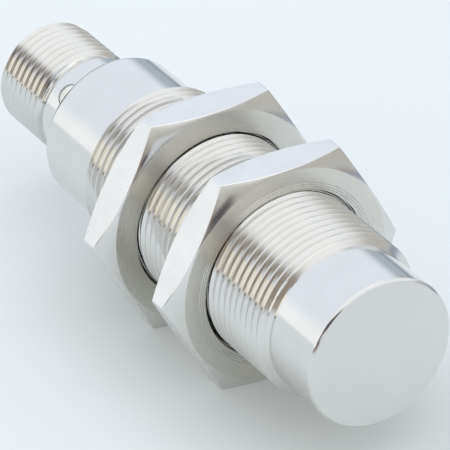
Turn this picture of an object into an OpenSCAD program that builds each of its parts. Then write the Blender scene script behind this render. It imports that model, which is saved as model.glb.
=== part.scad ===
// All-metal inductive proximity sensor: M18x1 barrel, two lock nuts and an M12x1 plug connection.
// Frame: X runs along the barrel and out of the sensing face, Z is up, and the origin is at the
// centre of the sensing face. The sensor lies on one flat of each lock nut. Lengths are millimetres.

/* [Housing] */
// Diameter of the plain nose behind the sensing face
nose_d = 16.4; // [16:0.1:16.8]
// Length of the plain nose
nose_len = 7.2; // [6.5:0.1:8]
// Length of the M18 thread, in whole pitches
thread_len = 35; // [33:1:36]
// Diameter of the plain section behind the thread
rear_d = 16.5; // [16.2:0.1:16.8]
// Length of the plain section behind the thread
rear_len = 8.3; // [8:0.1:9]
// Thickness of the closed steel wall that is the sensing face
face_wall = 0.8; // [0.6:0.1:1]
// Diameter of the housing's inner bore
bore_d = 14.6; // [14.5:0.1:14.8]
// Chamfer round the sensing face and round the rear end
edge_chamfer = 0.25; // [0.1:0.05:0.3]

/* [Mounting thread] */
// Major diameter of the mounting thread
m18_d = 18; // [17.9:0.05:18]
// Pitch of the mounting thread
m18_pitch = 1; // [1:1]

/* [Lock nuts] */
// Width of a lock nut across its flats
nut_af = 24; // [23.5:0.1:24.5]
// Thickness of a lock nut
nut_t = 4; // [3.5:0.1:4.5]
// Diameter of the flat ring that the chamfers leave on a nut's faces
nut_face_d = 23.6; // [23:0.1:23.9]
// Angle between a nut's face and its chamfer, in degrees
nut_chamfer = 28; // [20:1:30]
// Distance from the sensing face to the front nut's front face
front_nut_at = 17.05; // [14:0.05:18]
// Distance from the sensing face to the rear nut's front face
rear_nut_at = 30.25; // [29:0.05:32]
// Outer diameter of a nut's threaded bore zone
nut_thread_d = 19.2; // [19:0.1:19.6]

/* [Connector] */
// Length of the connector stub behind the housing
stub_len = 13.5; // [13:0.1:14]
// Crest diameter of the M12 thread
m12_d = 12; // [11.8:0.05:12]
// Pitch of the M12 thread
m12_pitch = 1; // [1:1]
// Number of turns of the M12 thread
m12_turns = 7; // [6:1:7]
// Length of the plain lead-in between the M12 thread and the end of the stub
m12_lead_in = 0.5; // [0.4:0.1:0.6]
// Diameter of the smooth collar in front of the M12 thread
collar_d = 11.5; // [11.4:0.05:11.6]
// Length of the collar, its bevel included
collar_len = 5.35; // [5.2:0.05:5.4]
// Diameter at the bottom of the undercut between collar and thread
undercut_d = 10.4; // [10.2:0.1:10.6]
// Diameter of the socket that takes the plug's insert
socket_d = 8.6; // [8.4:0.1:8.8]
// Diameter of the cavity behind the collar, which holds the light ring
cavity_d = 10.1; // [10:0.05:10.2]
// Diameter of a window hole in the collar
window_d = 2.6; // [2.2:0.1:2.8]
// Distance of the window holes from the housing's rear end
window_at = 2.4; // [2.2:0.1:2.6]

/* [Contacts] */
// Diameter of a contact pin
pin_d = 1; // [0.9:0.05:1]
// Diameter of the circle that the contact pins stand on
pin_circle_d = 5; // [4.8:0.1:5.2]
// Distance from the end of the stub to the tips of the contact pins
pin_recess = 1.2; // [1:0.1:2]

/* [Coil] */
// Outer diameter of the ferrite pot core
core_d = 13.9; // [13.8:0.05:13.9]
// Length of the pot core
core_len = 4.5; // [4.2:0.1:4.8]
// Diameter of the pot core's centre post
post_d = 6; // [5.6:0.1:6]
// Inner diameter of the pot core's rim
core_slot_d = 11.6; // [11.4:0.1:11.8]

/* [Electronics] */
// Width of the circuit board
board_w = 13; // [12:0.1:13]
// Thickness of the circuit board
board_t = 0.8; // [0.6:0.1:1]
// Width of the board's tongue inside the light ring
tongue_w = 6; // [5:0.1:6]

/* [Hidden] */
$fn = 96;

// Clearance between fixed pieces that fit into each other
gap = 0.02;
// Radial clearance between pieces that turn or slide on each other
running = 0.05;

// Places along the axis, measured from the sensing face towards -X
thread_x = -nose_len;
thread_end_x = thread_x - thread_len;
housing_end_x = thread_end_x - rear_len;
stub_end_x = housing_end_x - stub_len;

// Thread form: a 60 degree thread has 5/8 of its pitch in its two flanks
flank = 5 / 16;
flat = 1 / 8;
thread_depth = 0.5413;
m18_root_d = m18_d - 2 * thread_depth * m18_pitch;
m12_root_d = m12_d - 2 * thread_depth * m12_pitch;

// Connector shell
collar_end_x = housing_end_x - collar_len;
collar_bevel = 0.5;
m12_end_x = stub_end_x + m12_lead_in;
m12_x = m12_end_x + m12_turns * m12_pitch;
plug_len = 3.5;
plug_x = housing_end_x + plug_len;
plug_d = bore_d - 2 * gap;
cavity_end_x = housing_end_x - 4.8;
seal_groove_w = 0.8;
seal_groove_d = plug_d - 1.2;
shell_seal_x = housing_end_x + plug_len / 2;

// Contact carrier
flange_d = cavity_d - 2 * gap;
flange_x = cavity_end_x + 1.05;
floor_x = cavity_end_x - 0.6;
pin_tip_x = stub_end_x + pin_recess;
pin_tail_x = flange_x + 0.5;
pin_tip_len = 0.35;
carrier_seal_x = (flange_x + cavity_end_x) / 2;
carrier_groove_w = 0.6;
carrier_groove_d = flange_d - 1;
rib_w = 1;
rib_h = 0.7;
rib_len = 5.7;
rib_end_x = floor_x - rib_len;
rib_od = socket_d - 2 * gap;

// Light ring
window_x = housing_end_x - window_at;
ring_od = cavity_d - 2 * gap;
ring_id = 7.4;
ring_half = 1.3;
stud_d = window_d - 2 * gap;

// Coil
pad = 0.2;
core_x = -face_wall - pad;
core_back_x = core_x - core_len;
core_plate = 1.5;
slot_end_x = core_back_x + core_plate;
core_hole_d = 2.4;
bobbin_x = core_x - 0.1;
bobbin_end_x = slot_end_x + 0.1;
bobbin_wall = 0.35;
bobbin_id = post_d + 0.1;
bobbin_od = core_slot_d - 0.2;
hub_d = bobbin_id + 2 * bobbin_wall;
winding_id = hub_d + 2 * gap;
winding_od = bobbin_od - 0.4;
winding_x = bobbin_x - bobbin_wall - gap;
winding_end_x = bobbin_end_x + bobbin_wall + gap;
lead_d = 0.3;
lead_y = 4.6;
lead_hole_d = 0.7;

// Core carrier: a sleeve round the core with a web behind it that holds the board's front edge
carrier_od = bore_d - 2 * running;
carrier_id = core_d + 2 * running;
web_x = core_back_x - 0.05;
web_end_x = web_x - 1.2;
carrier_end_x = web_end_x - 1.8;
board_slot = 0.5;

// Circuit board
board_x = web_end_x + board_slot - gap;
board_end_x = housing_end_x + 4.5;
tongue_end_x = window_x - 1;
board_top = board_t / 2;
lead_end_x = board_x - 1.6;
lead_z = board_top + lead_d / 2;

// Insulating sleeve and cast resin
sleeve_x = carrier_end_x - 0.1;
sleeve_end_x = plug_x + 0.1;
sleeve_od = bore_d - 0.2;
sleeve_id = sleeve_od - 0.4;
resin_x = web_end_x - gap;
resin_end_x = sleeve_end_x;
resin_d = carrier_id - 0.1;

// Chips: [distance behind the sensing face, y, side of the board, length, width, height]
oscillator = [16, 0, 1, 6, 6, 1.2];
driver = [31.5, 0, 1, 5, 4, 1.6];
tantalum = [39.5, -2.6, 1, 4.2, 3, 2];
diodes = [[37, 3, -1, 4.3, 2.6, 2.1], [37, -3, -1, 4.3, 2.6, 2.1]];
chip_rows = 4;
chip_pitch = 2.4;
capacitors = [for (i = [0 : chip_rows - 1], y = [-4, 4]) [22.5 + i * chip_pitch, y, 1, 1.6, 0.8, 0.8]];
resistors = [for (i = [0 : chip_rows - 1], y = [-4, 4]) [14 + i * chip_pitch, y, -1, 1.6, 0.8, 0.5]];
leds = [for (side = [-1, 1], y = [-2.1, 2.1]) [-window_x, y, side, 0.8, 1.2, 0.7]];

// Wires from the contact pins to the board
wire_d = 0.5;
wire_end_x = housing_end_x + 1;
pin_angles = [for (i = [0 : 3]) 45 + 90 * i];

steel = [0.80, 0.82, 0.83];
bright_steel = [0.86, 0.88, 0.90];
plastic_black = [0.07, 0.07, 0.08];
plastic_natural = [0.86, 0.82, 0.70];
clear_plastic = [0.90, 0.93, 0.90, 0.6];
copper = [0.75, 0.42, 0.22];
gold = [0.86, 0.70, 0.35];
ferrite = [0.20, 0.20, 0.21];
board_green = [0.10, 0.38, 0.22];
resin = [0.30, 0.26, 0.22];

// A solid of revolution about the X axis, from a profile of [radius, x] points
module turned(profile) {
    rotate([0, 90, 0]) rotate_extrude() polygon(profile);
}

// A straight round bar along the X axis, from x_low to x_high
module rod(x_low, x_high, d) {
    translate([x_low, 0, 0]) rotate([0, 90, 0]) cylinder(h = x_high - x_low, d = d);
}

// A straight round tube along the X axis
module tube(x_low, x_high, od, id) {
    turned([[id / 2, x_low], [od / 2, x_low], [od / 2, x_high], [id / 2, x_high]]);
}

// A ring of round section, such as an O-ring
module ring(x, d, section_d) {
    translate([x, 0, 0]) rotate([0, 90, 0])
        rotate_extrude() translate([d / 2, 0]) circle(d = section_d, $fn = 32);
}

// The child at each corner of the contact pins' square, turned about the axis
module at_pin(angle) {
    rotate([angle, 0, 0]) translate([0, pin_circle_d / 2, 0]) children();
}

// The child's +Z axis pointing out through the window at an angle round the axis
module at_window(angle) {
    rotate([angle, 0, 0]) translate([window_x, 0, 0]) rotate([-90, 0, 0]) children();
}

// A pair of straight holes or leads beside each other, where the coil's leads run
module at_leads() {
    for (side = [-1, 1]) translate([0, side * lead_y, lead_z]) children();
}

// A chip on the board, each side of it larger by grow
module chip(spec, grow = 0) {
    length = spec[3] + 2 * grow;
    width = spec[4] + 2 * grow;
    height = spec[5] + grow;
    translate([-spec[0], spec[1], spec[2] * (board_top + height / 2)])
        cube([length, width, height], center = true);
}

// One ridge of a thread as [radius, share of the pitch]
function ridge(crest_r, root_r) = [
    [root_r, flat],
    [crest_r, flat + flank],
    [crest_r, 1 - flat - flank],
    [root_r, 1 - flat]
];

// Profile points of a thread's ridges, from x towards -X, as [radius, x]
function thread_points(x, turns, pitch, crest_r, root_r) = [
    for (i = [0 : turns - 1], p = ridge(crest_r, root_r)) [p[0], x - (i + p[1]) * pitch]
];

// Outer contour of the housing, from the sensing face to the rear end
function housing_contour() = concat(
    [
        [0, 0],
        [nose_d / 2 - edge_chamfer, 0],
        [nose_d / 2, -edge_chamfer],
        [nose_d / 2, thread_x],
        [m18_root_d / 2, thread_x]
    ],
    thread_points(thread_x, thread_len / m18_pitch, m18_pitch, m18_d / 2, m18_root_d / 2),
    [
        [m18_root_d / 2, thread_end_x],
        [rear_d / 2, thread_end_x],
        [rear_d / 2, housing_end_x + edge_chamfer / 2],
        [rear_d / 2 - edge_chamfer / 2, housing_end_x]
    ]
);

module housing() {
    color(bright_steel) turned(concat(
        housing_contour(),
        [[bore_d / 2, housing_end_x], [bore_d / 2, -face_wall], [0, -face_wall]]
    ));
}

// The hexagonal body of a lock nut whose front face is at x
module nut_body(x) {
    corner_r = nut_af / 2 / cos(30);
    drop = (corner_r - nut_face_d / 2) * tan(nut_chamfer);
    bore_r = nut_thread_d / 2 + running;
    color(steel) intersection() {
        rotate([30, 0, 0]) translate([x - nut_t, 0, 0]) rotate([0, 90, 0])
            cylinder(h = nut_t, r = corner_r, $fn = 6);
        turned([
            [bore_r, x],
            [nut_face_d / 2, x],
            [corner_r, x - drop],
            [corner_r + 1, x - drop],
            [corner_r + 1, x - nut_t + drop],
            [corner_r, x - nut_t + drop],
            [nut_face_d / 2, x - nut_t],
            [bore_r, x - nut_t]
        ]);
    }
}

// The threaded zone round a lock nut's bore, with its lead-in chamfers
module nut_thread(x) {
    bore_r = m18_d / 2 + running;
    lead_in = 0.3;
    color(steel) turned([
        [bore_r + lead_in, x],
        [nut_thread_d / 2, x],
        [nut_thread_d / 2, x - nut_t],
        [bore_r + lead_in, x - nut_t],
        [bore_r, x - nut_t + lead_in],
        [bore_r, x - lead_in]
    ]);
}

module front_nut() {
    nut_body(-front_nut_at);
}

module front_nut_thread() {
    nut_thread(-front_nut_at);
}

module rear_nut() {
    nut_body(-rear_nut_at);
}

module rear_nut_thread() {
    nut_thread(-rear_nut_at);
}

module connector_shell() {
    collar_r = collar_d / 2;
    color(bright_steel) difference() {
        turned(concat(
            [
                [cavity_d / 2, plug_x],
                [plug_d / 2, plug_x],
                [plug_d / 2, shell_seal_x + seal_groove_w / 2],
                [seal_groove_d / 2, shell_seal_x + seal_groove_w / 2],
                [seal_groove_d / 2, shell_seal_x - seal_groove_w / 2],
                [plug_d / 2, shell_seal_x - seal_groove_w / 2],
                [plug_d / 2, housing_end_x],
                [collar_r, housing_end_x],
                [collar_r, collar_end_x + collar_bevel],
                [collar_r - collar_bevel / 3, collar_end_x],
                [undercut_d / 2, collar_end_x],
                [undercut_d / 2, m12_x]
            ],
            thread_points(m12_x, m12_turns, m12_pitch, m12_d / 2, m12_root_d / 2),
            [
                [m12_root_d / 2 + m12_lead_in / 2, m12_end_x],
                [m12_root_d / 2, stub_end_x],
                [socket_d / 2, stub_end_x],
                [socket_d / 2, cavity_end_x],
                [cavity_d / 2, cavity_end_x]
            ]
        ));
        for (angle = pin_angles) at_window(angle) cylinder(h = collar_d, d = window_d);
    }
}

// A clear ring inside the collar with a stud in each window
module light_ring() {
    stud_foot = ring_id / 2 + 0.4;
    stud_len = collar_d / 2 - stud_foot - 0.05;
    color(clear_plastic) {
        tube(window_x - ring_half, window_x + ring_half, ring_od, ring_id);
        for (angle = pin_angles) at_window(angle) translate([0, 0, stud_foot])
            cylinder(h = stud_len, d = stud_d);
    }
}

module contact_carrier() {
    color(plastic_black) difference() {
        union() {
            turned([
                [0, flange_x],
                [flange_d / 2, flange_x],
                [flange_d / 2, carrier_seal_x + carrier_groove_w / 2],
                [carrier_groove_d / 2, carrier_seal_x + carrier_groove_w / 2],
                [carrier_groove_d / 2, carrier_seal_x - carrier_groove_w / 2],
                [flange_d / 2, carrier_seal_x - carrier_groove_w / 2],
                [flange_d / 2, cavity_end_x + gap],
                [socket_d / 2 - gap, cavity_end_x + gap],
                [socket_d / 2 - gap, floor_x],
                [0, floor_x]
            ]);
            // Coding rib between two contacts, along the socket's wall
            intersection() {
                tube(rib_end_x, floor_x + 0.3, rib_od, rib_od - 2 * rib_h);
                translate([rib_end_x, -rib_w / 2, 0]) cube([rib_len + 0.3, rib_w, socket_d]);
            }
        }
        for (angle = pin_angles) at_pin(angle) rod(floor_x - 1, flange_x + 1, pin_d + 2 * gap);
    }
}

module contact_pin(i) {
    color(gold) at_pin(pin_angles[i]) turned([
        [0, pin_tail_x],
        [pin_d / 2, pin_tail_x],
        [pin_d / 2, pin_tip_x + pin_tip_len],
        [pin_d / 4, pin_tip_x],
        [0, pin_tip_x]
    ]);
}

module carrier_seal() {
    color(plastic_black) ring(carrier_seal_x, carrier_groove_d + 0.5 + gap, 0.48);
}

module shell_seal() {
    color(plastic_black) ring(shell_seal_x, seal_groove_d + 0.6 + gap, 0.56);
}

module pot_core() {
    color(ferrite) difference() {
        turned([
            [core_hole_d / 2, core_x],
            [post_d / 2, core_x],
            [post_d / 2, slot_end_x],
            [core_slot_d / 2, slot_end_x],
            [core_slot_d / 2, core_x],
            [core_d / 2, core_x],
            [core_d / 2, core_back_x],
            [core_hole_d / 2, core_back_x]
        ]);
        at_leads() rod(core_back_x - 1, core_x, lead_hole_d);
    }
}

module coil_bobbin() {
    color(plastic_natural) difference() {
        turned([
            [bobbin_id / 2, bobbin_x],
            [bobbin_od / 2, bobbin_x],
            [bobbin_od / 2, bobbin_x - bobbin_wall],
            [hub_d / 2, bobbin_x - bobbin_wall],
            [hub_d / 2, bobbin_end_x + bobbin_wall],
            [bobbin_od / 2, bobbin_end_x + bobbin_wall],
            [bobbin_od / 2, bobbin_end_x],
            [bobbin_id / 2, bobbin_end_x]
        ]);
        at_leads() rod(bobbin_end_x - 1, bobbin_end_x + bobbin_wall + gap, lead_hole_d);
    }
}

module coil_winding() {
    color(copper) tube(winding_end_x, winding_x, winding_od, winding_id);
}

module coil_leads() {
    color(copper) at_leads() rod(lead_end_x, bobbin_end_x + bobbin_wall, lead_d);
}

module core_carrier() {
    color(plastic_natural) difference() {
        union() {
            tube(carrier_end_x, core_x, carrier_od, carrier_id);
            rod(web_end_x, web_x, carrier_id + gap);
        }
        at_leads() rod(web_end_x - 1, web_x + 1, lead_hole_d);
        translate([web_end_x - 1, -board_w / 2 - gap, -board_top - gap])
            cube([1 + board_slot, board_w + 2 * gap, board_t + 2 * gap]);
    }
}

module insulating_sleeve() {
    color(plastic_natural) tube(sleeve_end_x, sleeve_x, sleeve_od, sleeve_id);
}

// The board's outline from its front edge to the end of its tongue, each side larger by grow
module board_shape(grow = 0) {
    translate([board_end_x - grow, -board_w / 2 - grow, -board_top - grow])
        cube([board_x - board_end_x + 2 * grow, board_w + 2 * grow, board_t + 2 * grow]);
    translate([tongue_end_x - grow, -tongue_w / 2 - grow, -board_top - grow])
        cube([board_end_x - tongue_end_x + 2 * grow, tongue_w + 2 * grow, board_t + 2 * grow]);
}

module circuit_board() {
    color(board_green) board_shape();
}

module oscillator_chip() {
    color(plastic_black) chip(oscillator);
}

module output_driver() {
    color(plastic_black) chip(driver);
}

module chip_capacitors() {
    color([0.62, 0.50, 0.36]) for (spec = capacitors) chip(spec);
}

module chip_resistors() {
    color(plastic_black) for (spec = resistors) chip(spec);
}

module filter_capacitor() {
    color([0.85, 0.62, 0.20]) chip(tantalum);
}

module surge_diodes() {
    color(plastic_black) for (spec = diodes) chip(spec);
}

module status_leds() {
    color([0.95, 0.85, 0.45]) for (spec = leds) chip(spec);
}

// One wire: along the axis from a pin's tail, then down or up to the board
module pin_wire(angle) {
    y = pin_circle_d / 2 * cos(angle);
    z = pin_circle_d / 2 * sin(angle);
    foot_z = sign(z) * board_top;
    translate([0, y, z]) rod(pin_tail_x, wire_end_x, wire_d);
    translate([wire_end_x, y, z]) sphere(d = wire_d, $fn = 32);
    translate([wire_end_x, y, min(z, foot_z)]) cylinder(h = abs(z - foot_z), d = wire_d);
}

module pin_wires() {
    color([0.80, 0.25, 0.20]) for (angle = pin_angles) pin_wire(angle);
}

// Cast resin round the board and its chips, with their exact shapes left out of it
module potting_compound() {
    color(resin) difference() {
        rod(resin_end_x, resin_x, resin_d);
        board_shape(gap);
        for (spec = concat([oscillator, driver, tantalum], diodes, capacitors, resistors))
            chip(spec, gap);
        at_leads() rod(lead_end_x - gap, 0, lead_d + 2 * gap);
    }
}

housing();
front_nut();
front_nut_thread();
rear_nut();
rear_nut_thread();
connector_shell();
light_ring();
contact_carrier();
contact_pin(0);  // contact_pin_1
contact_pin(1);  // contact_pin_2
contact_pin(2);  // contact_pin_3
contact_pin(3);  // contact_pin_4
carrier_seal();
shell_seal();
pot_core();
coil_bobbin();
coil_winding();
coil_leads();
core_carrier();
insulating_sleeve();
circuit_board();
oscillator_chip();
output_driver();
chip_capacitors();
chip_resistors();
filter_capacitor();
surge_diodes();
status_leds();
pin_wires();
potting_compound();
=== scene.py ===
"""Looks of an M18 all-metal proximity sensor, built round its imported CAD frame.

The frame has X along the barrel and out of the sensing face, Z up, and the origin at the centre of the
sensing face. Lengths in this script are millimetres until they reach Blender. An angle is measured
round the X axis, from +Y towards +Z.
"""

import math

import bmesh
import bpy
import numpy as np
from mathutils import Matrix, Vector


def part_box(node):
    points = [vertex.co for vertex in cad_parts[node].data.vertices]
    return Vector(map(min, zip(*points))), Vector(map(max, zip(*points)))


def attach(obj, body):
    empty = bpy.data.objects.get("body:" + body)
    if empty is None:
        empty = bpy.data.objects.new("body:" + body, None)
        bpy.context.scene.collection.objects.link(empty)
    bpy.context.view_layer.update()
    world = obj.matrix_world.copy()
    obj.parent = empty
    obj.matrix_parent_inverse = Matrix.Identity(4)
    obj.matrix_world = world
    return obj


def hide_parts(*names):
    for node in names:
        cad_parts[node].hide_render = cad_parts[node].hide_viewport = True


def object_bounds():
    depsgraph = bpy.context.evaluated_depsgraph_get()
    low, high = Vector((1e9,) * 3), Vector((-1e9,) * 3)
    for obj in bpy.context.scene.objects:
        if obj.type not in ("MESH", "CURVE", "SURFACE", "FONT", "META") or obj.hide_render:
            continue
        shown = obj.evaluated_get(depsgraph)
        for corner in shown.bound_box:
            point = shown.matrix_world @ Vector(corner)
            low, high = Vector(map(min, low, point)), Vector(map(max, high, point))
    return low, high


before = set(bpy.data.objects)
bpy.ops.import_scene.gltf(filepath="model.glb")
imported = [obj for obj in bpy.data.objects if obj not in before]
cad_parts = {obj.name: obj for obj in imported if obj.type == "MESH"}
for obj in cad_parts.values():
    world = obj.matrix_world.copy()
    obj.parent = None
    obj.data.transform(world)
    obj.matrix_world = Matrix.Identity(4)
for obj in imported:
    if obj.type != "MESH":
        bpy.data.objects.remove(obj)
CAD_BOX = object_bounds()

MM = 0.001


def x_range(node):
    """Lowest and highest X of a CAD node, in millimetres."""
    low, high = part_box(node)
    return low.x / MM, high.x / MM


def outer_radius(node):
    """Half of a CAD node's height, in millimetres."""
    low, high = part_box(node)
    return (high.z - low.z) / 2 / MM


# ---------------------------------------------------------------- dimensions

# Housing; M18_CREST_X is where a crest of its thread crosses angle 0
HOUSING_END, FACE = x_range("housing")
CREST_R = outer_radius("housing")
PITCH = 1.0
CREST_HALF = 1 / 16
THREAD_DEPTH = 0.5413
NOSE_R = 8.2
NOSE_CHAMFER = 0.25
THREAD_START = -7.2
THREAD_END = THREAD_START - 35 * PITCH
START_CHAMFER = 0.46
END_CHAMFER = 0.6
REAR_R = 8.25
REAR_BEVEL = 0.35
REAR_BEVEL_DROP = 0.15
BORE_R = 7.3
FACE_WALL = 0.8
M18_CREST_X = -0.70

# Lock nuts; the marks are fine grooves round the bore, on a nut's faces
NUT_FLAT_R = outer_radius("front_nut")
NUT_FACE_R = 11.8
NUT_CHAMFER = math.radians(28)
NUT_CORNER_FILLET = 0.25
COUNTERSINK_R = 9.4
NUT_EDGE = 0.05
MARK_RADII = (9.62, 9.86, 10.12)
MARK_DEPTH = 0.02
MARK_HALF = 0.035
NUT_MINOR_R = 8.5
THREAD_CLEARANCE = 0.06

# Connector shell; M12_CREST_X is where a crest of its thread crosses angle 0
STUB_END, PLUG_START = x_range("connector_shell")
PLUG_R = outer_radius("connector_shell")
COLLAR_R = 5.75
COLLAR_END = HOUSING_END - 5.35
COLLAR_BEVEL = 0.5
UNDERCUT_R = 5.38
M12_R = 6.0
M12_START = STUB_END + 7.75
M12_CHAMFER = 0.27
M12_END_CHAMFER = 0.2
M12_CREST_X = -0.14
SOCKET_R = 4.3
CAVITY_R = 5.05
CAVITY_END = HOUSING_END - 4.8
SEAL_X = sum(x_range("shell_seal")) / 2
SEAL_HALF = 0.4
SEAL_GROOVE_R = PLUG_R - 0.6
PLUG_CHAMFER = 0.15
SOCKET_CHAMFER = 0.2

# Windows and light ring
WINDOW_X = HOUSING_END - 2.4
WINDOW_R = 1.3
WINDOW_ANGLES = [math.radians(45 + 90 * i) for i in range(4)]
RING_LOW, RING_HIGH = x_range("light_ring")
RING_IN_R = 3.7
RING_OUT_R = 5.03
RING_EDGE = 0.1
STUD_R = 1.28
STUD_FOOT_R = 4.4
STUD_END_R = 5.72
STUD_DOME = 0.25

# Contact carrier and pins
CARRIER_HIGH = x_range("contact_carrier")[1]
CARRIER_FLOOR = CAVITY_END - 0.6
CARRIER_LOW = x_range("contact_carrier")[0]
CARRIER_SEAL_X = sum(x_range("carrier_seal")) / 2
RIB_HALF_W = 0.5
RIB_H = 0.7
PIN_R = 0.5
PIN_TIP = 0.4
PIN_CIRCLE_R = 2.5

# Segments round a full turn
BARREL_SEGMENTS = 224
STUB_SEGMENTS = 192
RING_SEGMENTS = 96
ROD_SEGMENTS = 48
PIN_SEGMENTS = 32

FLOOR_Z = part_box("front_nut")[0].z


# ---------------------------------------------------------------- mesh tools

def full_turn(segments):
    """Angles of equal steps over a full turn, both ends included."""
    return [2 * math.pi * i / segments for i in range(segments + 1)]


def swept(name, angles, contour_at, closed):
    """A mesh from one contour of (x, r) points for each angle round the X axis.

    closed joins each contour's last point to its first; otherwise both ends lie on the axis.
    """
    columns = [contour_at(a) for a in angles]
    count = len(columns[0])
    vertices = []
    for angle, column in zip(angles, columns):
        c = math.cos(angle) * MM
        s = math.sin(angle) * MM
        vertices.extend((x * MM, r * c, r * s) for x, r in column)
    steps = count if closed else count - 1
    faces = []
    for j in range(len(columns) - 1):
        for i in range(steps):
            k = (i + 1) % count
            faces.append((j * count + i, j * count + k, (j + 1) * count + k, (j + 1) * count + i))
    mesh = bpy.data.meshes.new(name)
    mesh.from_pydata(vertices, [], faces)
    return finished(name, mesh)


def finished(name, mesh, merge=2e-7, sharp=math.radians(22)):
    """An object of a mesh with its doubles merged, its normals outward and its sharp edges marked."""
    bm = bmesh.new()
    bm.from_mesh(mesh)
    bmesh.ops.remove_doubles(bm, verts=bm.verts, dist=merge)
    bmesh.ops.dissolve_degenerate(bm, edges=bm.edges, dist=merge)
    bmesh.ops.recalc_face_normals(bm, faces=bm.faces)
    for face in bm.faces:
        face.smooth = True
    for edge in bm.edges:
        edge.smooth = len(edge.link_faces) == 2 and edge.calc_face_angle(0) < sharp
    bm.to_mesh(mesh)
    bm.free()
    made = bpy.data.objects.new(name, mesh)
    bpy.context.scene.collection.objects.link(made)
    return made


def lofted(name, bm, loops):
    """A closed solid from loops of vertices: sides from each loop to the next, and a face on both ends."""
    count = len(loops[0])
    for low, high in zip(loops, loops[1:]):
        for i in range(count):
            k = (i + 1) % count
            bm.faces.new((low[i], low[k], high[k], high[i]))
    bm.faces.new(loops[0])
    bm.faces.new(loops[-1])
    mesh = bpy.data.meshes.new(name)
    bm.to_mesh(mesh)
    bm.free()
    return finished(name, mesh)


def boolean(target, tools, operation):
    """Cuts the tools from the target, or joins them to it, and removes the tools."""
    for tool in tools:
        step = target.modifiers.new("step", "BOOLEAN")
        step.operation = operation
        step.solver = "EXACT"
        step.object = tool
    graph = bpy.context.evaluated_depsgraph_get()
    mesh = bpy.data.meshes.new_from_object(target.evaluated_get(graph))
    name = target.name
    for spent in [target, *tools]:
        bpy.data.objects.remove(spent)
    return finished(name, mesh)


def thread_form(crest_r, depth):
    """One pitch of an external 60 degree thread, from its crest's centre, as (share of the pitch, radius).

    The points either side of the crest's corner and of the root's corner round them a little.
    """
    steep = math.tan(math.radians(60)) * PITCH

    def flank_r(share):
        return crest_r - (share - CREST_HALF) * steep

    half = [
        (0.038, crest_r),
        (0.068, crest_r - 0.016),
        (0.098, flank_r(0.098)),
        (0.355, flank_r(0.355)),
        (0.41, crest_r - depth),
    ]
    return mirrored_form([(0.0, crest_r)], half, [(0.5, crest_r - depth - 0.015)])


def nut_thread_form(crest_r, minor_r, clearance):
    """One pitch of the internal thread that fits round an external one, from the same crest's centre."""
    steep = math.tan(math.radians(60)) * PITCH
    major_r = crest_r + clearance
    foot = CREST_HALF + (major_r - minor_r) / steep
    half = [
        (CREST_HALF, major_r),
        (foot - 0.02, minor_r + 0.02 * steep),
        (foot + 0.02, minor_r),
    ]
    return mirrored_form([(0.0, major_r)], half, [(0.5, minor_r)])


def mirrored_form(first, half, middle):
    """A whole pitch from its first point, the points of one half, and the point halfway."""
    back = [(1 - share, r) for share, r in reversed(half)]
    return first + half + middle + back


def helix(angle, start, end, crest_x, form, limit, extra=()):
    """Contour points of a right-hand thread from x start down to x end, at one angle.

    crest_x is where a crest crosses angle 0, and limit(x, r) gives the radius left by the end chamfers.
    extra holds more x positions to put points at, where a chamfer cuts the thread.
    """
    turns = round((start - end) / PITCH) + 4
    base = crest_x + PITCH * (angle / (2 * math.pi) + 1 - math.floor((crest_x - start) / PITCH))
    points = []
    for k in range(turns):
        for share, r in form:
            x = min(max(base - (k + share) * PITCH, end), start)
            points.append((x, limit(x, r)))
    shares, radii = zip(*form, (1.0, form[0][1]))
    for x in extra:
        r = float(np.interp((base - x) / PITCH % 1, shares, radii))
        points.append((x, limit(x, r)))
    return sorted(points, key=lambda point: -point[0])


# ---------------------------------------------------------------- pieces

def build_housing():
    """The barrel: closed sensing face, plain nose, helical M18 thread, plain rear end and its bore."""
    form = thread_form(CREST_R, THREAD_DEPTH)
    cuts = [THREAD_START - START_CHAMFER * share for share in (0.2, 0.4, 0.6, 0.8, 1.0)]

    def limit(x, r):
        front = NOSE_R + (THREAD_START - x) * (CREST_R - NOSE_R) / START_CHAMFER
        rear = REAR_R + (x - THREAD_END) * (CREST_R - REAR_R) / END_CHAMFER
        return min(r, front, rear)

    def contour(angle):
        return [
            (FACE, 0),
            (FACE, NOSE_R * 0.5),
            (FACE, NOSE_R - NOSE_CHAMFER - 0.02),
            (FACE - 0.015, NOSE_R - NOSE_CHAMFER + 0.015),
            (FACE - NOSE_CHAMFER + 0.015, NOSE_R - 0.015),
            (FACE - NOSE_CHAMFER - 0.02, NOSE_R),
            (THREAD_START + 0.03, NOSE_R),
            *helix(angle, THREAD_START, THREAD_END, M18_CREST_X, form, limit, cuts),
            (THREAD_END - 0.03, REAR_R),
            (HOUSING_END + REAR_BEVEL + 0.12, REAR_R),
            (HOUSING_END + REAR_BEVEL + 0.02, REAR_R),
            (HOUSING_END + REAR_BEVEL - 0.02, REAR_R - 0.01),
            (HOUSING_END + 0.03, REAR_R - REAR_BEVEL_DROP),
            (HOUSING_END, REAR_R - REAR_BEVEL_DROP - 0.03),
            (HOUSING_END, BORE_R + 0.05),
            (HOUSING_END + 0.05, BORE_R),
            (-FACE_WALL, BORE_R),
            (-FACE_WALL, 0),
        ]

    return swept("barrel_housing", full_turn(BARREL_SEGMENTS), contour, closed=False)


def hexagon_radius(angle):
    """Radius of the nut's hexagon at an angle, its corners rounded by a small fillet."""
    sixth = math.pi / 3
    from_corner = abs((angle + sixth / 2) % sixth - sixth / 2)
    flat_r = NUT_FLAT_R / math.cos(sixth / 2 - from_corner)
    centre = (NUT_FLAT_R - NUT_CORNER_FILLET) / math.cos(sixth / 2)
    side = centre * math.sin(from_corner)
    if side < NUT_CORNER_FILLET:
        fillet_r = centre * math.cos(from_corner) + math.sqrt(NUT_CORNER_FILLET**2 - side**2)
        return min(flat_r, fillet_r)
    return flat_r


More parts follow.
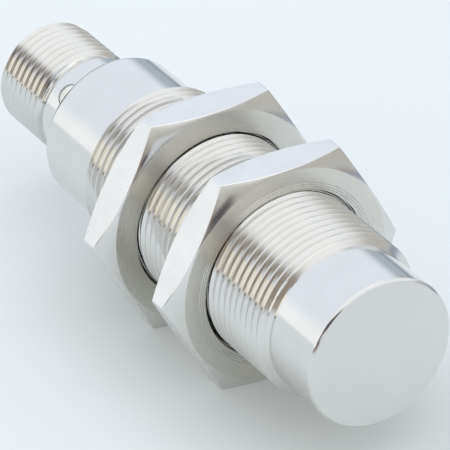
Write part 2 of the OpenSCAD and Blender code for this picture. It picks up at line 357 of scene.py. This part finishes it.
def nut_angles():
    """Angles round a nut: even steps on each flat, and closer ones over each corner's fillet."""
    sixth = math.pi / 3
    close = [math.radians(a) for a in (0.3, 0.6)]
    steps = 26
    angles = []
    for k in range(6):
        corner = k * sixth
        even = [sixth * i / steps for i in range(1, steps)]
        inner = [0, *close, *even, sixth - close[1], sixth - close[0]]
        angles.extend(corner + a for a in inner)
    return [*angles, 2 * math.pi]


def tool_marks(radii, face_x, inward):
    """Contour points, from the outside in, of the fine grooves that a tool left on a nut's face."""
    points = []
    for r in reversed(radii):
        points += [(face_x, r + MARK_HALF), (face_x + inward * MARK_DEPTH, r), (face_x, r - MARK_HALF)]
    return points


def build_nut(name, cad_node, mark_radii):
    """A chamfered hexagon nut with a helical bore in phase with the barrel's thread."""
    rear, front = x_range(cad_node)
    form = nut_thread_form(CREST_R, NUT_MINOR_R, THREAD_CLEARANCE)
    slope = math.tan(NUT_CHAMFER)

    def limit(x, r):
        return max(r, COUNTERSINK_R - (front - x), COUNTERSINK_R - (x - rear))

    def contour(angle):
        r = hexagon_radius(angle)
        drop = (r - NUT_FACE_R) * slope
        bore = helix(angle, front, rear, M18_CREST_X, form, limit)
        return [
            *reversed(tool_marks(mark_radii, front, -1)),
            (front, NUT_FACE_R - 0.04),
            (front - 0.01, NUT_FACE_R + 0.01),
            (front - drop + NUT_EDGE * slope, r - NUT_EDGE),
            (front - drop - NUT_EDGE, r),
            (rear + drop + NUT_EDGE, r),
            (rear + drop - NUT_EDGE * slope, r - NUT_EDGE),
            (rear + 0.01, NUT_FACE_R + 0.01),
            (rear, NUT_FACE_R - 0.04),
            *tool_marks(mark_radii, rear, 1),
            *reversed(bore),
        ]

    return swept(name, nut_angles(), contour, closed=True)


def radial_rod(name, x, angle, r_low, r_high, radius, dome=0.0):
    """A round bar that points away from the X axis, its outer end domed."""
    rings = [(r_low, radius), (r_high - dome, radius)]
    if dome:
        rings += [(r_high - dome * 0.45, radius * 0.93), (r_high - dome * 0.1, radius * 0.62)]
    bm = bmesh.new()
    along = Vector((1, 0, 0))
    out = Vector((0, math.cos(angle), math.sin(angle)))
    side = Vector((0, -math.sin(angle), math.cos(angle)))
    loops = []
    for height, r in rings:
        centre = along * x + out * height
        loop = []
        for turn in full_turn(ROD_SEGMENTS)[:-1]:
            at = centre + along * (r * math.cos(turn)) + side * (r * math.sin(turn))
            loop.append(bm.verts.new(at * MM))
        loops.append(loop)
    return lofted(name, bm, loops)


def build_connector_shell():
    """The plug stub: press-in plug with its seal groove, collar with windows, M12 thread and socket."""
    form = thread_form(M12_R, THREAD_DEPTH)

    def limit(x, r):
        front = UNDERCUT_R + (M12_START - x) * (M12_R - UNDERCUT_R) / M12_CHAMFER
        rear = M12_R - M12_END_CHAMFER + (x - STUB_END) if x > STUB_END else UNDERCUT_R
        return min(r, front, rear)

    def contour(angle):
        return [
            (PLUG_START, CAVITY_R),
            (PLUG_START, PLUG_R - PLUG_CHAMFER),
            (PLUG_START - PLUG_CHAMFER, PLUG_R),
            (SEAL_X + SEAL_HALF, PLUG_R),
            (SEAL_X + SEAL_HALF, SEAL_GROOVE_R),
            (SEAL_X - SEAL_HALF, SEAL_GROOVE_R),
            (SEAL_X - SEAL_HALF, PLUG_R),
            (HOUSING_END, PLUG_R),
            (HOUSING_END, COLLAR_R),
            (COLLAR_END + COLLAR_BEVEL + 0.03, COLLAR_R),
            (COLLAR_END + COLLAR_BEVEL - 0.01, COLLAR_R - 0.02),
            (COLLAR_END + 0.04, COLLAR_R - COLLAR_BEVEL / 3),
            (COLLAR_END, COLLAR_R - COLLAR_BEVEL / 3 - 0.04),
            (COLLAR_END, UNDERCUT_R + 0.06),
            (COLLAR_END - 0.06, UNDERCUT_R),
            (M12_START + 0.03, UNDERCUT_R),
            *helix(angle, M12_START, STUB_END, M12_CREST_X, form, limit),
            (STUB_END, SOCKET_R + SOCKET_CHAMFER),
            (STUB_END + SOCKET_CHAMFER, SOCKET_R),
            (CAVITY_END, SOCKET_R),
            (CAVITY_END, CAVITY_R),
        ]

    shell = swept("connector_stub", full_turn(STUB_SEGMENTS), contour, closed=True)
    holes = [
        radial_rod(f"hole_{i}", WINDOW_X, a, STUD_FOOT_R, COLLAR_R + 0.75, WINDOW_R)
        for i, a in enumerate(WINDOW_ANGLES)
    ]
    return boolean(shell, holes, "DIFFERENCE")


def build_light_ring():
    """A milky ring inside the collar with a slightly domed stud in each window."""
    def contour(angle):
        return [
            (RING_HIGH, RING_IN_R + RING_EDGE),
            (RING_HIGH, RING_OUT_R - RING_EDGE),
            (RING_HIGH - RING_EDGE, RING_OUT_R),
            (RING_LOW + RING_EDGE, RING_OUT_R),
            (RING_LOW, RING_OUT_R - RING_EDGE),
            (RING_LOW, RING_IN_R + RING_EDGE),
            (RING_LOW + RING_EDGE, RING_IN_R),
            (RING_HIGH - RING_EDGE, RING_IN_R),
        ]

    ring = swept("window_ring", full_turn(RING_SEGMENTS), contour, closed=True)
    studs = [
        radial_rod(f"stud_{i}", WINDOW_X, a, STUD_FOOT_R, STUD_END_R, STUD_R, dome=STUD_DOME)
        for i, a in enumerate(WINDOW_ANGLES)
    ]
    return boolean(ring, studs, "UNION")


def build_contact_carrier():
    """The black insert that holds the contacts: flange, seal groove, socket floor and coding rib."""
    flange_r = CAVITY_R - 0.02
    groove_r = flange_r - 0.5
    core_r = SOCKET_R - 0.02

    def contour(angle):
        return [
            (CARRIER_HIGH, 0),
            (CARRIER_HIGH, flange_r - 0.1),
            (CARRIER_HIGH - 0.1, flange_r),
            (CARRIER_SEAL_X + 0.3, flange_r),
            (CARRIER_SEAL_X + 0.3, groove_r),
            (CARRIER_SEAL_X - 0.3, groove_r),
            (CARRIER_SEAL_X - 0.3, flange_r),
            (CAVITY_END + 0.02, flange_r),
            (CAVITY_END + 0.02, core_r),
            (CARRIER_FLOOR + 0.1, core_r),
            (CARRIER_FLOOR, core_r - 0.1),
            (CARRIER_FLOOR, 0),
        ]

    body = swept("contact_insert", full_turn(RING_SEGMENTS), contour, closed=False)
    holes = [
        pin_solid(f"pin_hole_{i}", i, PIN_R + 0.02, CARRIER_FLOOR - 1, CARRIER_HIGH + 1) for i in range(4)
    ]
    body = boolean(body, holes, "DIFFERENCE")
    return boolean(body, [coding_rib(core_r)], "UNION")


def coding_rib(wall_r):
    """The rib along the socket's wall, between two contacts, that codes the plug."""
    half = math.asin(RIB_HALF_W / wall_r)
    inner_r = wall_r - RIB_H
    steps = 8
    profile = [(wall_r, -half + 2 * half * i / steps) for i in range(steps + 1)]
    inner_half = math.asin((RIB_HALF_W - 0.15) / inner_r)
    profile += [(inner_r + 0.12, half * 1.15)]
    profile += [(inner_r, inner_half - 2 * inner_half * i / steps) for i in range(steps + 1)]
    profile += [(inner_r + 0.12, -half * 1.15)]
    bm = bmesh.new()
    loops = []
    for x, shrink in ((CARRIER_FLOOR + 0.3, 0), (CARRIER_LOW + 0.1, 0), (CARRIER_LOW, 0.1)):
        loop = []
        for r, a in profile:
            r = max(r, inner_r + shrink)
            loop.append(bm.verts.new(Vector((x, r * math.sin(a), r * math.cos(a))) * MM))
        loops.append(loop)
    return lofted("coding_rib", bm, loops)


def pin_solid(name, index, r, low, high, tip=0.0):
    """A bar along X on the contacts' circle, with a rounded tip on its -X end."""
    def contour(angle):
        points = [(high, 0), (high, r), (low + tip, r)]
        if tip:
            steps = 6
            for i in range(1, steps):
                a = math.pi / 2 * i / steps
                points.append((low + tip * (1 - math.sin(a)), r * (0.35 + 0.65 * math.cos(a))))
        points.append((low, r * 0.35 if tip else r))
        points.append((low, 0))
        return points

    pin = swept(name, full_turn(PIN_SEGMENTS), contour, closed=False)
    at = WINDOW_ANGLES[index]
    offset = Vector((0, PIN_CIRCLE_R * math.cos(at), PIN_CIRCLE_R * math.sin(at))) * MM
    for vertex in pin.data.vertices:
        vertex.co += offset
    return pin


# ---------------------------------------------------------------- materials

def shader(name):
    """A new material and its node tree, with a Principled shader."""
    material = bpy.data.materials.new(name)
    material.use_nodes = True
    tree = material.node_tree
    return material, tree, tree.nodes["Principled BSDF"]


def node(tree, kind, inputs=None, **settings):
    """A node with its settings, its inputs given by index or name as values or as other nodes' outputs."""
    made = tree.nodes.new(kind)
    for key, value in settings.items():
        setattr(made, key, value)
    for key, value in (inputs or {}).items():
        if isinstance(value, bpy.types.NodeSocket):
            tree.links.new(value, made.inputs[key])
        else:
            made.inputs[key].default_value = value
    return made


def math_node(tree, operation, a, b=0.0):
    """The output of one step of arithmetic on values or other nodes' outputs."""
    return node(tree, "ShaderNodeMath", {0: a, 1: b}, operation=operation).outputs[0]


def smooth(tree, value, low, high):
    """A smooth step from 0 at low to 1 at high; low may lie above high."""
    flip = low > high
    ends = {1: high, 2: low, 3: 1.0, 4: 0.0} if flip else {1: low, 2: high, 3: 0.0, 4: 1.0}
    made = node(tree, "ShaderNodeMapRange", {0: value, **ends}, interpolation_type="SMOOTHSTEP")
    return made.outputs[0]


def band(tree, value, low, high, soft):
    """1 where a value lies between low and high, 0 outside, with edges this soft."""
    rise = smooth(tree, value, low - soft, low + soft)
    fall = smooth(tree, value, high + soft, high - soft)
    return math_node(tree, "MULTIPLY", rise, fall)


def product(tree, *values):
    """All the values multiplied together."""
    total = values[0]
    for value in values[1:]:
        total = math_node(tree, "MULTIPLY", total, value)
    return total


def blend(tree, factor, low, high):
    """A colour between two, each given as a colour or as another node's output."""
    low = low if isinstance(low, bpy.types.NodeSocket) else (*low, 1)
    high = high if isinstance(high, bpy.types.NodeSocket) else (*high, 1)
    return node(tree, "ShaderNodeMix", {0: factor, 6: low, 7: high}, data_type="RGBA").outputs[2]


def position(tree):
    """Object position as x, y, z outputs, in metres."""
    return node(tree, "ShaderNodeSeparateXYZ", {0: object_point(tree)}).outputs


def object_point(tree):
    """Object position as one vector output, in metres."""
    return node(tree, "ShaderNodeTexCoord").outputs["Object"]


def noise(tree, vector, scale=1.0, detail=3.0):
    """The value of a fractal noise, mostly between 0.3 and 0.7."""
    inputs = {"Vector": vector, "Scale": scale, "Detail": detail, "Roughness": 0.55}
    return node(tree, "ShaderNodeTexNoise", inputs).outputs["Fac"]


def ramp(tree, factor, stops):
    """A colour ramp from (position, colour) stops."""
    made = node(tree, "ShaderNodeValToRGB", {0: factor})
    elements = made.color_ramp.elements
    while len(elements) < len(stops):
        elements.new(0.5)
    for element, (at, colour) in zip(elements, stops):
        element.position = at
        element.color = (*colour, 1.0)
    return made.outputs["Color"]


def spread(tree, factor, low, high):
    """A value that goes from low to high as a noise goes over its usual range."""
    made = node(tree, "ShaderNodeMapRange", {0: factor, 1: 0.3, 2: 0.7, 3: low, 4: high})
    return made.outputs[0]


def turned_vector(tree, fine, along):
    """Coordinates in which noise becomes lathe lines: quick along X and the radius, slow round the axis."""
    x, y, z = position(tree)
    y_square = math_node(tree, "MULTIPLY", y, y)
    z_square = math_node(tree, "MULTIPLY", z, z)
    radius = math_node(tree, "SQRT", math_node(tree, "ADD", y_square, z_square))
    across = math_node(tree, "MULTIPLY", math_node(tree, "ADD", x, radius), fine)
    aslant = math_node(tree, "ADD", y, math_node(tree, "MULTIPLY", z, 0.7))
    slow = math_node(tree, "MULTIPLY", aslant, along)
    made = node(tree, "ShaderNodeCombineXYZ", {0: across, 1: slow, 2: 0.0})
    return made.outputs[0]


def grain_vector(tree, along, across):
    """Coordinates in which noise becomes fine grain, with a size along X and another across it."""
    made = node(tree, "ShaderNodeMapping", {"Vector": object_point(tree), "Scale": (along, across, across)})
    return made.outputs[0]


def steel(name, vector_of, dark, light, low, high, line_depth, streak=0.0):
    """Bare steel: fine lines or grain, a slow drift of colour, and roughness that varies with the lines.

    The colour runs from dark to light and the roughness from low to high. streak stretches reflections
    across the lines of a turned face.
    """
    material, tree, bsdf = shader(name)
    lines = noise(tree, vector_of(tree), detail=4.0)
    cloud = noise(tree, object_point(tree), scale=260.0, detail=5.0)
    tree.links.new(ramp(tree, cloud, [(0.32, dark), (0.68, light)]), bsdf.inputs["Base Color"])
    tree.links.new(spread(tree, lines, low, high), bsdf.inputs["Roughness"])
    bump = node(tree, "ShaderNodeBump", {"Height": lines, "Distance": line_depth, "Strength": 1.0})
    tree.links.new(bump.outputs[0], bsdf.inputs["Normal"])
    bsdf.inputs["Metallic"].default_value = 1.0
    if streak:
        bsdf.inputs["Anisotropic"].default_value = streak
        round_axis = node(tree, "ShaderNodeTangent", direction_type="RADIAL", axis="X")
        tree.links.new(round_axis.outputs[0], bsdf.inputs["Tangent"])
        bsdf.inputs["Anisotropic Rotation"].default_value = 0.25
    return material


def plastic(name, dark, light, scale, low, high, depth):
    """Moulded plastic, rubber, ceramic or resin: mottled colour, varied gloss and a fine grain."""
    material, tree, bsdf = shader(name)
    point = object_point(tree)
    mottle = noise(tree, point, scale=scale, detail=4.0)
    fine = noise(tree, point, scale=scale * 9, detail=2.0)
    tree.links.new(ramp(tree, mottle, [(0.3, dark), (0.7, light)]), bsdf.inputs["Base Color"])
    tree.links.new(spread(tree, mottle, low, high), bsdf.inputs["Roughness"])
    bump = node(tree, "ShaderNodeBump", {"Height": fine, "Distance": depth, "Strength": 0.6})
    tree.links.new(bump.outputs[0], bsdf.inputs["Normal"])
    return material


def metal_coat(name, dark, light, low, high):
    """Smooth plated or drawn metal with a slow drift of colour."""
    material, tree, bsdf = shader(name)
    cloud = noise(tree, object_point(tree), scale=900.0, detail=4.0)
    tree.links.new(ramp(tree, cloud, [(0.3, dark), (0.7, light)]), bsdf.inputs["Base Color"])
    tree.links.new(spread(tree, cloud, low, high), bsdf.inputs["Roughness"])
    bsdf.inputs["Metallic"].default_value = 1.0
    return material


def milky_plastic(name):
    """Clear plastic that scatters light, as in an indicator window."""
    material, tree, bsdf = shader(name)
    cloud = noise(tree, object_point(tree), scale=700.0, detail=3.0)
    colours = [(0.3, (0.74, 0.78, 0.72)), (0.7, (0.86, 0.88, 0.84))]
    tree.links.new(ramp(tree, cloud, colours), bsdf.inputs["Base Color"])
    tree.links.new(spread(tree, cloud, 0.12, 0.24), bsdf.inputs["Roughness"])
    bsdf.inputs["Subsurface Weight"].default_value = 0.6
    bsdf.inputs["Subsurface Radius"].default_value = (1.0, 1.0, 0.8)
    bsdf.inputs["Subsurface Scale"].default_value = 0.0008
    return material


def wound_wire(name):
    """Enamelled copper wound on a bobbin: one ridge for each turn of the wire, with painted shade in the
    creases between turns.
    """
    material, tree, bsdf = shader(name)
    wire = 0.0001
    phase = math_node(tree, "MULTIPLY", position(tree)[0], math.pi / wire)
    turns = math_node(tree, "ABSOLUTE", math_node(tree, "SINE", phase))
    # Painted shade: the colour runs from dark brown in the creases between turns to copper on the ridges.
    colours = [(0.0, (0.20, 0.07, 0.03)), (1.0, (0.72, 0.33, 0.14))]
    tree.links.new(ramp(tree, turns, colours), bsdf.inputs["Base Color"])
    bump = node(tree, "ShaderNodeBump", {"Height": turns, "Distance": 0.00004, "Strength": 1.0})
    tree.links.new(bump.outputs[0], bsdf.inputs["Normal"])
    bsdf.inputs["Metallic"].default_value = 0.8
    bsdf.inputs["Roughness"].default_value = 0.35
    return material


def turned(tree):
    """Lathe lines round a barrel."""
    return turned_vector(tree, 7000.0, 90.0)


def faced(tree):
    """Finer and longer lathe lines on a turned face."""
    return turned_vector(tree, 9000.0, 30.0)


def satin(tree):
    """Fine even grain."""
    return grain_vector(tree, 4200.0, 6200.0)


BARREL_STEEL = steel("barrel_steel", turned, (0.73, 0.72, 0.70), (0.76, 0.75, 0.73), 0.07, 0.13, 0.000003)
STUB_STEEL = steel("stub_steel", turned, (0.73, 0.72, 0.70), (0.76, 0.75, 0.73), 0.07, 0.13, 0.000003)
NUT_RING_STEEL = steel(
    "nut_ring_steel", faced, (0.72, 0.70, 0.65), (0.76, 0.74, 0.69), 0.26, 0.32, 0.000002, streak=0.85
)
NUT_BEVEL_STEEL = steel(
    "nut_bevel_steel", faced, (0.73, 0.72, 0.70), (0.77, 0.76, 0.74), 0.08, 0.14, 0.000002
)
NUT_FLAT_STEEL = steel(
    "nut_flat_steel", satin, (0.755, 0.75, 0.74), (0.81, 0.805, 0.795), 0.24, 0.34, 0.0000025
)
FACE_STEEL = steel(
    "sensing_face_steel", turned, (0.79, 0.79, 0.78), (0.81, 0.81, 0.795), 0.44, 0.50, 0.000002
)
WINDOW = milky_plastic("milky_window")
BLACK_PLASTIC = plastic(
    "black_insert", (0.012, 0.012, 0.014), (0.03, 0.03, 0.032), 1500.0, 0.32, 0.5, 0.00001
)
GOLD = metal_coat("contact_gold", (0.78, 0.52, 0.18), (0.95, 0.72, 0.34), 0.12, 0.24)
RUBBER = plastic("seal_rubber", (0.012, 0.012, 0.012), (0.03, 0.03, 0.03), 2500.0, 0.55, 0.75, 0.00001)
FERRITE = plastic("ferrite", (0.03, 0.03, 0.035), (0.075, 0.075, 0.08), 3000.0, 0.5, 0.75, 0.00002)
NATURAL = plastic("natural_plastic", (0.62, 0.56, 0.42), (0.78, 0.73, 0.58), 900.0, 0.35, 0.5, 0.00001)
WINDING = wound_wire("wound_copper")
COPPER = metal_coat("copper_wire", (0.55, 0.22, 0.08), (0.85, 0.42, 0.2), 0.2, 0.35)
LAMINATE = plastic("board_green", (0.015, 0.10, 0.045), (0.03, 0.19, 0.08), 800.0, 0.3, 0.45, 0.00001)
CHIP = plastic("chip_black", (0.015, 0.015, 0.016), (0.04, 0.04, 0.042), 2500.0, 0.45, 0.65, 0.00001)
CERAMIC = plastic("capacitor_ceramic", (0.25, 0.16, 0.09), (0.45, 0.31, 0.19), 2500.0, 0.35, 0.55, 0.00001)
TANTALUM = plastic("capacitor_orange", (0.62, 0.32, 0.05), (0.85, 0.52, 0.12), 1500.0, 0.3, 0.45, 0.00001)
LED_LENS = plastic("led_lens", (0.75, 0.62, 0.25), (0.92, 0.84, 0.5), 2500.0, 0.15, 0.3, 0.000005)
WIRE_RED = plastic("wire_red", (0.42, 0.03, 0.02), (0.62, 0.07, 0.05), 1800.0, 0.4, 0.55, 0.00001)
RESIN = plastic("cast_resin", (0.10, 0.08, 0.06), (0.19, 0.16, 0.12), 500.0, 0.4, 0.6, 0.00002)


# ---------------------------------------------------------------- assembly

def dress(piece, materials, pick=None):
    """Gives a piece its materials; pick chooses one for each face from the face's centre and normal."""
    piece.data.materials.clear()
    for material in materials:
        piece.data.materials.append(material)
    if pick:
        for face in piece.data.polygons:
            face.material_index = pick(face.center / MM, face.normal)


def install(piece, body, slot, *nodes):
    """Rides a piece on its body and lets it stand for CAD nodes, which it hides; slot is not used."""
    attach(piece, body)
    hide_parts(*nodes)


NUT_LOOKS = [NUT_FLAT_STEEL, NUT_BEVEL_STEEL, NUT_RING_STEEL]


def nut_look(centre, normal):
    """The index in NUT_LOOKS for a face of a nut; the bevel's look is also that of the bore and grooves."""
    if abs(normal.x) > 0.98:
        return NUT_LOOKS.index(NUT_RING_STEEL)
    outside = math.hypot(centre.y, centre.z) > NUT_FLAT_R - 0.5
    if abs(normal.x) < 0.02 and outside:
        return NUT_LOOKS.index(NUT_FLAT_STEEL)
    return NUT_LOOKS.index(NUT_BEVEL_STEEL)


housing = build_housing()
dress(housing, [BARREL_STEEL, FACE_STEEL], lambda c, n: int(c.x > FACE - 0.01))
install(housing, "barrel", "barrel_steel", "housing")

for side, mark_radii in (("front", MARK_RADII), ("rear", ())):
    nut = build_nut(f"{side}_lock_nut", f"{side}_nut", mark_radii)
    dress(nut, NUT_LOOKS, nut_look)
    install(nut, f"{side}_nut", "nut_steel", f"{side}_nut", f"{side}_nut_thread")

shell = build_connector_shell()
dress(shell, [STUB_STEEL])
install(shell, "barrel", "connector_steel", "connector_shell")

light_ring = build_light_ring()
dress(light_ring, [WINDOW])
install(light_ring, "barrel", "window_clear", "light_ring")

carrier = build_contact_carrier()
dress(carrier, [BLACK_PLASTIC])
install(carrier, "barrel", "contact_plastic", "contact_carrier")

for index in range(4):
    pin_node = f"contact_pin_{index + 1}"
    low, high = x_range(pin_node)
    pin = pin_solid(f"plug_pin_{index + 1}", index, PIN_R, low, high, tip=PIN_TIP)
    dress(pin, [GOLD])
    install(pin, "barrel", "contact_gold", pin_node)

INNER_LOOKS = {
    "carrier_seal": RUBBER,
    "shell_seal": RUBBER,
    "pot_core": FERRITE,
    "coil_bobbin": NATURAL,
    "coil_winding": WINDING,
    "coil_leads": COPPER,
    "core_carrier": NATURAL,
    "insulating_sleeve": NATURAL,
    "circuit_board": LAMINATE,
    "oscillator_chip": CHIP,
    "output_driver": CHIP,
    "chip_capacitors": CERAMIC,
    "chip_resistors": CHIP,
    "filter_capacitor": TANTALUM,
    "surge_diodes": CHIP,
    "status_leds": LED_LENS,
    "pin_wires": WIRE_RED,
    "potting_compound": RESIN,
}
for inner_node, look in INNER_LOOKS.items():
    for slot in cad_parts[inner_node].material_slots:
        slot.material = look


# ---------------------------------------------------------------- stage, light and camera

def layered(tree, colour, layers):
    """A colour with layers of (mask, colour) laid over it, the last one on top."""
    for mask, over in layers:
        colour = blend(tree, mask, colour, over)
    return colour


def build_floor():
    """A wide pale table that the nuts' flats rest on, with painted shade on it: a painted contact shadow
    under the front of the sensor, and darker painted zones further off that the steel mirrors.
    """
    half = 2.5
    bm = bmesh.new()
    corners = [(-half, -half), (half, -half), (half, half), (-half, half)]
    bm.faces.new([bm.verts.new((x, y, FLOOR_Z)) for x, y in corners])
    mesh = bpy.data.meshes.new("table")
    bm.to_mesh(mesh)
    bm.free()
    table = bpy.data.objects.new("table", mesh)
    bpy.context.scene.collection.objects.link(table)
    material, tree, bsdf = shader("table_white")
    bsdf.inputs["Roughness"].default_value = 0.9
    bsdf.inputs["Specular IOR Level"].default_value = 0.0
    bsdf.inputs["Emission Strength"].default_value = 0.40

    x, y, _ = position(tree)
    away = math_node(tree, "ABSOLUTE", y)
    # Painted contact shadow: the table is painted darker under the front of the sensor, near its axis.
    painted_contact_shadow = product(
        tree,
        smooth(tree, away, 0.024, 0.004),
        smooth(tree, x, -0.055, -0.030),
        smooth(tree, x, 0.02, 0.0),
    )
    # Painted shade on the table further off: on the +Y side, ahead of the sensing face, behind the sensor
    # and far ahead of it, for the steel to mirror as darker reflections.
    right = smooth(tree, y, 0.065, 0.13)
    front = smooth(tree, x, 0.05, 0.13)
    painted_shade_front_colour = blend(tree, smooth(tree, y, 0.10, 0.30), (0.30, 0.265, 0.23), (0.42, 0.42, 0.41))
    behind = product(tree, smooth(tree, x, -0.110, -0.130), smooth(tree, away, 0.055, 0.040))
    ahead = product(tree, smooth(tree, x, 0.11, 0.19), smooth(tree, away, 0.07, 0.04))
    colour = layered(tree, (0.59, 0.62, 0.635), [
        (painted_contact_shadow, (0.49, 0.515, 0.51)),
        (right, (0.26, 0.29, 0.335)),
        (front, painted_shade_front_colour),
        (behind, (0.10, 0.08, 0.08)),
        (ahead, (0.08, 0.075, 0.085)),
    ])
    # The colours, painted shade included, feed the table's glow as well as its base colour.
    tree.links.new(colour, bsdf.inputs["Base Color"])
    tree.links.new(colour, bsdf.inputs["Emission Color"])
    table.data.materials.append(material)


def build_world():
    """A soft studio: a bright tent with a darker skyline, lamps on the -Y side and dark gaps near the floor.

    Each layer is a range of directions, given by their x, y and z.
    """
    world = bpy.data.worlds.new("studio")
    world.use_nodes = True
    bpy.context.scene.world = world
    tree = world.node_tree
    background = tree.nodes["Background"]
    direction = node(tree, "ShaderNodeTexCoord").outputs["Generated"]
    x, y, z = node(tree, "ShaderNodeSeparateXYZ", {0: direction}).outputs

    def zone(*masks):
        return product(tree, *masks)

    def step(value, low, high):
        return smooth(tree, value, low, high)

    def within(value, low, high, soft):
        return band(tree, value, low, high, soft)

    tent = blend(tree, step(x, -0.6, 0.9), (0.95, 1.02, 1.12), (1.08, 1.11, 1.12))
    skyline = blend(tree, step(x, 0.4, -0.2), (0.60, 0.59, 0.56), (0.50, 0.56, 0.63))
    left = step(y, -0.3, -0.6)
    not_left = math_node(tree, "SUBTRACT", 1.0, left)
    studio = layered(tree, tent, [
        # the lamp overhead
        (zone(step(z, 0.78, 0.90), within(x, -0.60, 0.40, 0.06)), (1.30, 1.33, 1.35)),
        # the dim walls all round, apart from the -Y side
        (zone(step(z, 0.37, 0.14), not_left), skyline),
        # a low lamp on the -Y side, towards the back
        (zone(left, step(x, -0.4, -0.55), step(z, 0.40, 0.15)), (1.13, 1.17, 1.19)),
        # a warm lamp on the -Y side
        (zone(step(y, -0.74, -0.84), within(x, -0.45, 0.25, 0.06), step(z, 0.58, 0.46)), (1.36, 1.32, 1.17)),
        # the gap between that lamp and the one overhead
        (
            zone(within(y, -0.76, -0.56, 0.08), within(x, -0.45, 0.20, 0.06), within(z, 0.60, 0.84, 0.05)),
            (0.50, 0.47, 0.42),
        ),
        # the table's far edge on the -Y side
        (zone(left, step(x, -0.55, -0.40), step(z, 0.065, 0.03)), (0.24, 0.22, 0.22)),
        # the open front of the tent, and its darkest parts
        (zone(step(y, 0.02, -0.18), step(x, 0.85, 0.92), step(z, 0.40, 0.18)), (0.36, 0.31, 0.26)),
        (
            zone(within(y, -0.80, -0.20, 0.07), within(x, 0.50, 0.93, 0.03), within(z, 0.19, 0.54, 0.05)),
            (0.12, 0.10, 0.11),
        ),
        (zone(step(y, -0.58, -0.66), within(x, 0.50, 0.75, 0.04), step(z, 0.30, 0.20)), (0.13, 0.11, 0.12)),
        # dark things low down behind the sensor and straight ahead of it
        (zone(step(x, -0.78, -0.88), step(z, 0.30, 0.18), step(y, -0.45, -0.30)), (0.14, 0.10, 0.10)),
        (zone(step(x, 0.95, 0.97), within(y, -0.14, 0.12, 0.04), step(z, 0.13, 0.07)), (0.09, 0.085, 0.10)),
    ])
    tree.links.new(studio, background.inputs["Color"])
    background.inputs["Strength"].default_value = 1.0


MIDDLE = (Vector(CAD_BOX[0]) + Vector(CAD_BOX[1])) / 2
build_floor()
build_world()

# The camera looks along the sensor from its front left, from above
AIM = MIDDLE + Vector((1.91, 0.96, -1.46)) * MM
AZIMUTH = math.radians(58.24)
ELEVATION = math.radians(32.04)
ROLL = math.radians(-0.269)
DISTANCE = 0.50413
LENS = 397.1


def build_camera():
    """The scene's camera, aimed from the values above."""
    data = bpy.data.cameras.new("camera")
    data.lens = LENS
    data.sensor_width = 36
    data.clip_start = 0.01
    data.clip_end = 20
    camera = bpy.data.objects.new("camera", data)
    bpy.context.scene.collection.objects.link(camera)
    back = Vector((
        math.cos(ELEVATION) * math.sin(AZIMUTH),
        -math.cos(ELEVATION) * math.cos(AZIMUTH),
        math.sin(ELEVATION),
    ))
    camera.location = AIM + back * DISTANCE
    turn = back.to_track_quat("Z", "Y").to_matrix()
    roll = Matrix.Rotation(ROLL, 3, "Z")
    camera.rotation_euler = (turn @ roll).to_euler()
    bpy.context.scene.camera = camera


build_camera()
bpy.context.scene.view_settings.view_transform = "Standard"
bpy.context.scene.view_settings.look = "None"
